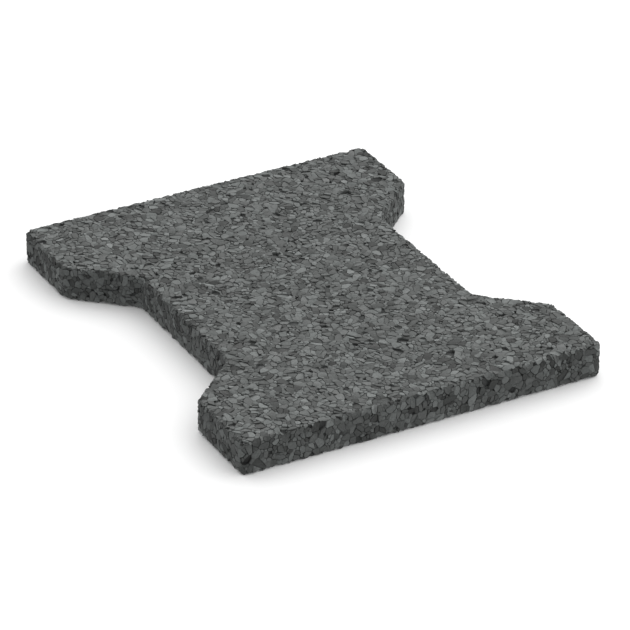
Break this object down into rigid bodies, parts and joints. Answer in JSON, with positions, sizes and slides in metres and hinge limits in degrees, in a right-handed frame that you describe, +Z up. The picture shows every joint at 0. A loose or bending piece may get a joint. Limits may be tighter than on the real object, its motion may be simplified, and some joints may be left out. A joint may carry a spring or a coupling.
{
  "type": "dog-bone rubber floor tile",
  "caption": "Thin double-T floor tile of bound rubber granulate. Its wide heads lock into the narrow waists of the tiles laid beside it.",
  "frame": {"origin": "middle of the underside", "axes": "+Y along the tile's length, from head to head; +X across the heads; +Z up, out of the walking face"},
  "size_m": [0.1644, 0.2, 0.015],
  "materials": {
    "granulate_rubber": "matt dark grey rubber granulate, pressed and bound, with lighter and darker crumbs"
  },
  "bodies": {
    "root": {"floor_tile": "granulate_rubber"}
  },
  "joints": []
}
